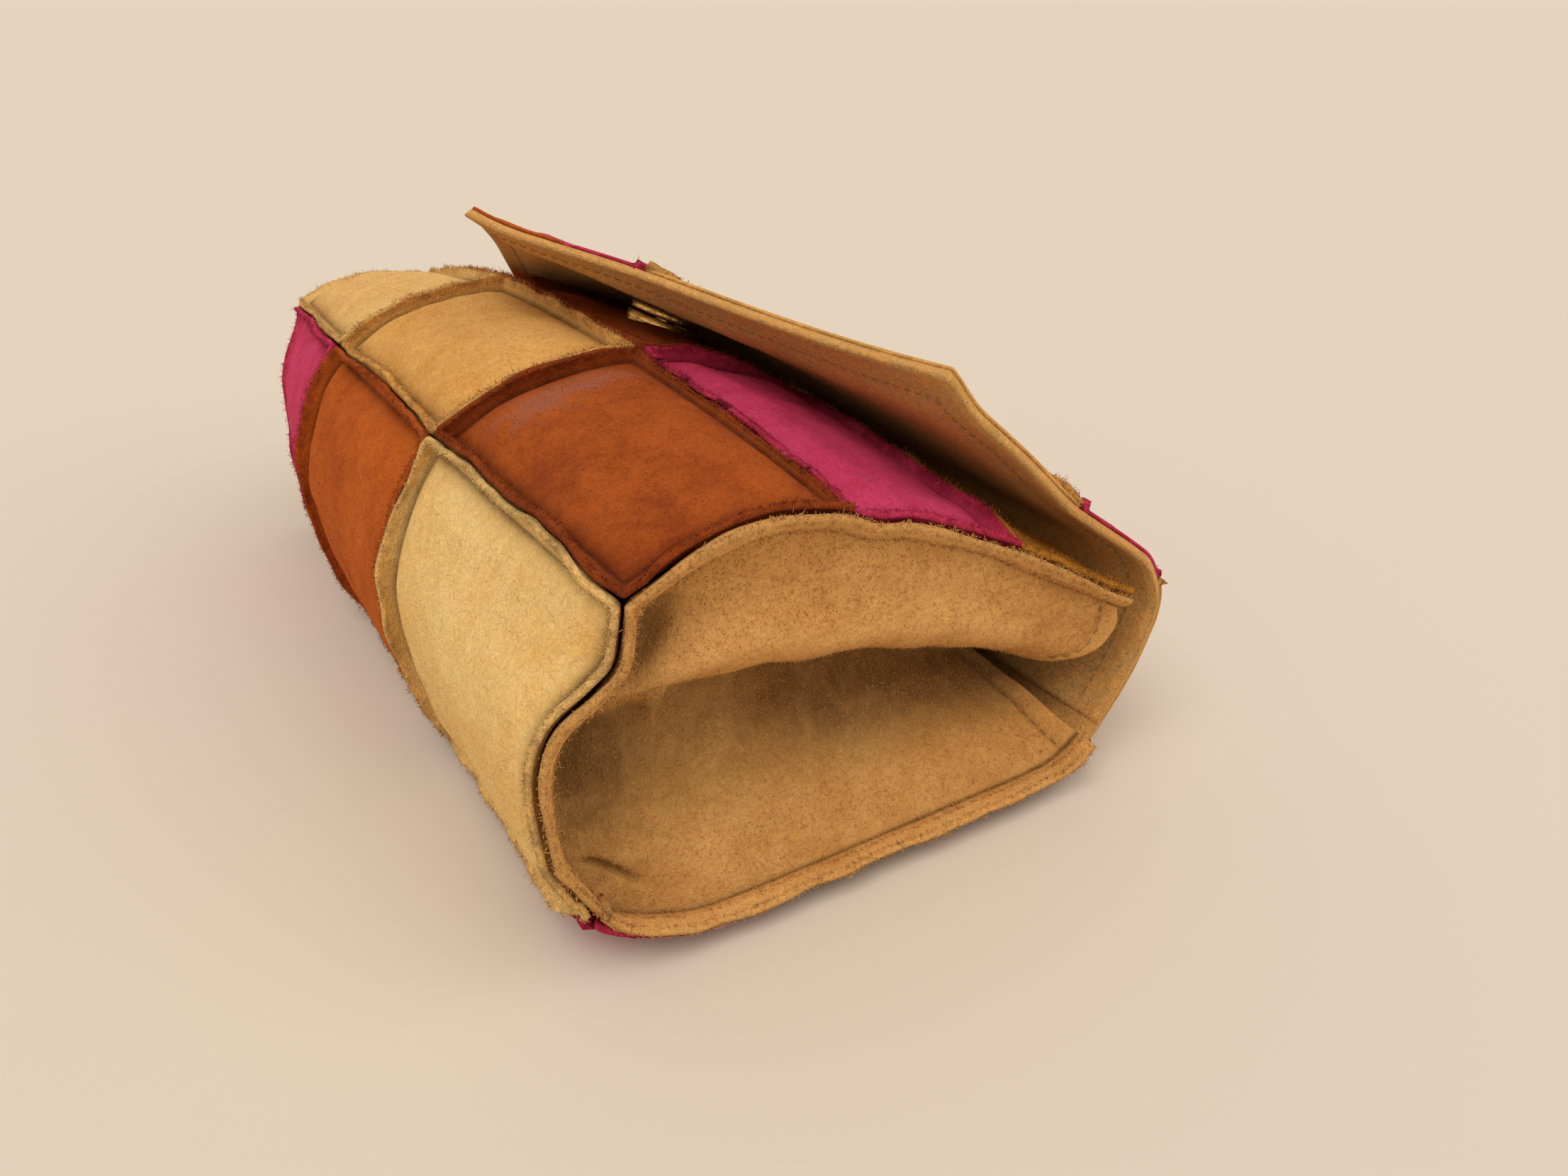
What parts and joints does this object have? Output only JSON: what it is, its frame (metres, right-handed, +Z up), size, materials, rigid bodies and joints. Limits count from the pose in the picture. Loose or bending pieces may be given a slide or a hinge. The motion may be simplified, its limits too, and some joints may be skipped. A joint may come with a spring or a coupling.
{
  "type": "suede patchwork flap bag",
  "caption": "Small suede patchwork bag lying on its back, folded-in ends, flap over the front held by a round magnetic snap.",
  "frame": {"origin": "centre of the bag's outline on the surface it lies on", "axes": "+X along the bag to its near end, +Y from its base to its mouth, +Z up: the bag lies on its back panel"},
  "size_m": [0.2001, 0.1173, 0.0912],
  "materials": {
    "suede_cream": "napped suede, sanded",
    "suede_tan": "napped suede",
    "suede_pale": "napped suede",
    "suede_rust": "napped suede, scuffed",
    "suede_brown": "napped suede",
    "suede_pink": "napped suede",
    "suede_ochre": "napped suede",
    "lining_tan": "soft napped suede",
    "brass": "worn satin",
    "magnet_grey": "dull"
  },
  "bodies": {
    "bag": {"base_patch_far": "suede_pink", "base_patch_middle": "suede_brown", "base_patch_near": "suede_cream", "front_row_1_far": "suede_pale", "front_row_1_middle": "suede_tan", "front_row_1_near": "suede_rust", "front_row_2_far": "suede_brown", "front_row_2_middle": "suede_rust", "front_row_2_near": "suede_pink", "front_row_3_far": "suede_tan", "front_row_3_middle": "suede_pale", "front_row_3_near": "suede_ochre", "back_row_1_far": "suede_rust", "back_row_1_middle": "suede_tan", "back_row_1_near": "suede_pink", "back_row_2_far": "suede_tan", "back_row_2_middle": "suede_pink", "back_row_2_near": "suede_ochre", "back_row_3_far": "suede_pink", "back_row_3_middle": "suede_pale", "back_row_3_near": "suede_brown", "body_lining": "lining_tan", "gusset_near": "lining_tan", "gusset_far": "lining_tan", "snap_socket": "brass", "snap_socket_washer": "brass", "snap_magnet": "magnet_grey"},
    "flap": {"hinge_row_far": "suede_brown", "hinge_row_middle": "suede_pink", "hinge_row_near": "suede_tan", "flap_row_1_far": "suede_tan", "flap_row_1_middle": "suede_brown", "flap_row_1_near": "suede_pink", "flap_row_2_far": "suede_rust", "flap_row_2_middle": "suede_pink", "flap_row_2_near": "suede_tan", "flap_tip": "suede_brown", "flap_lining": "lining_tan", "snap_stud": "brass", "snap_stud_washer": "brass"}
  },
  "joints": [
    {"name": "flap_hinge", "type": "hinge", "parent": "bag", "child": "flap", "pos_m": [0, 0.04523, 0.00797], "axis": [-1, 0, 0], "range_deg": [0, 78]}
  ]
}
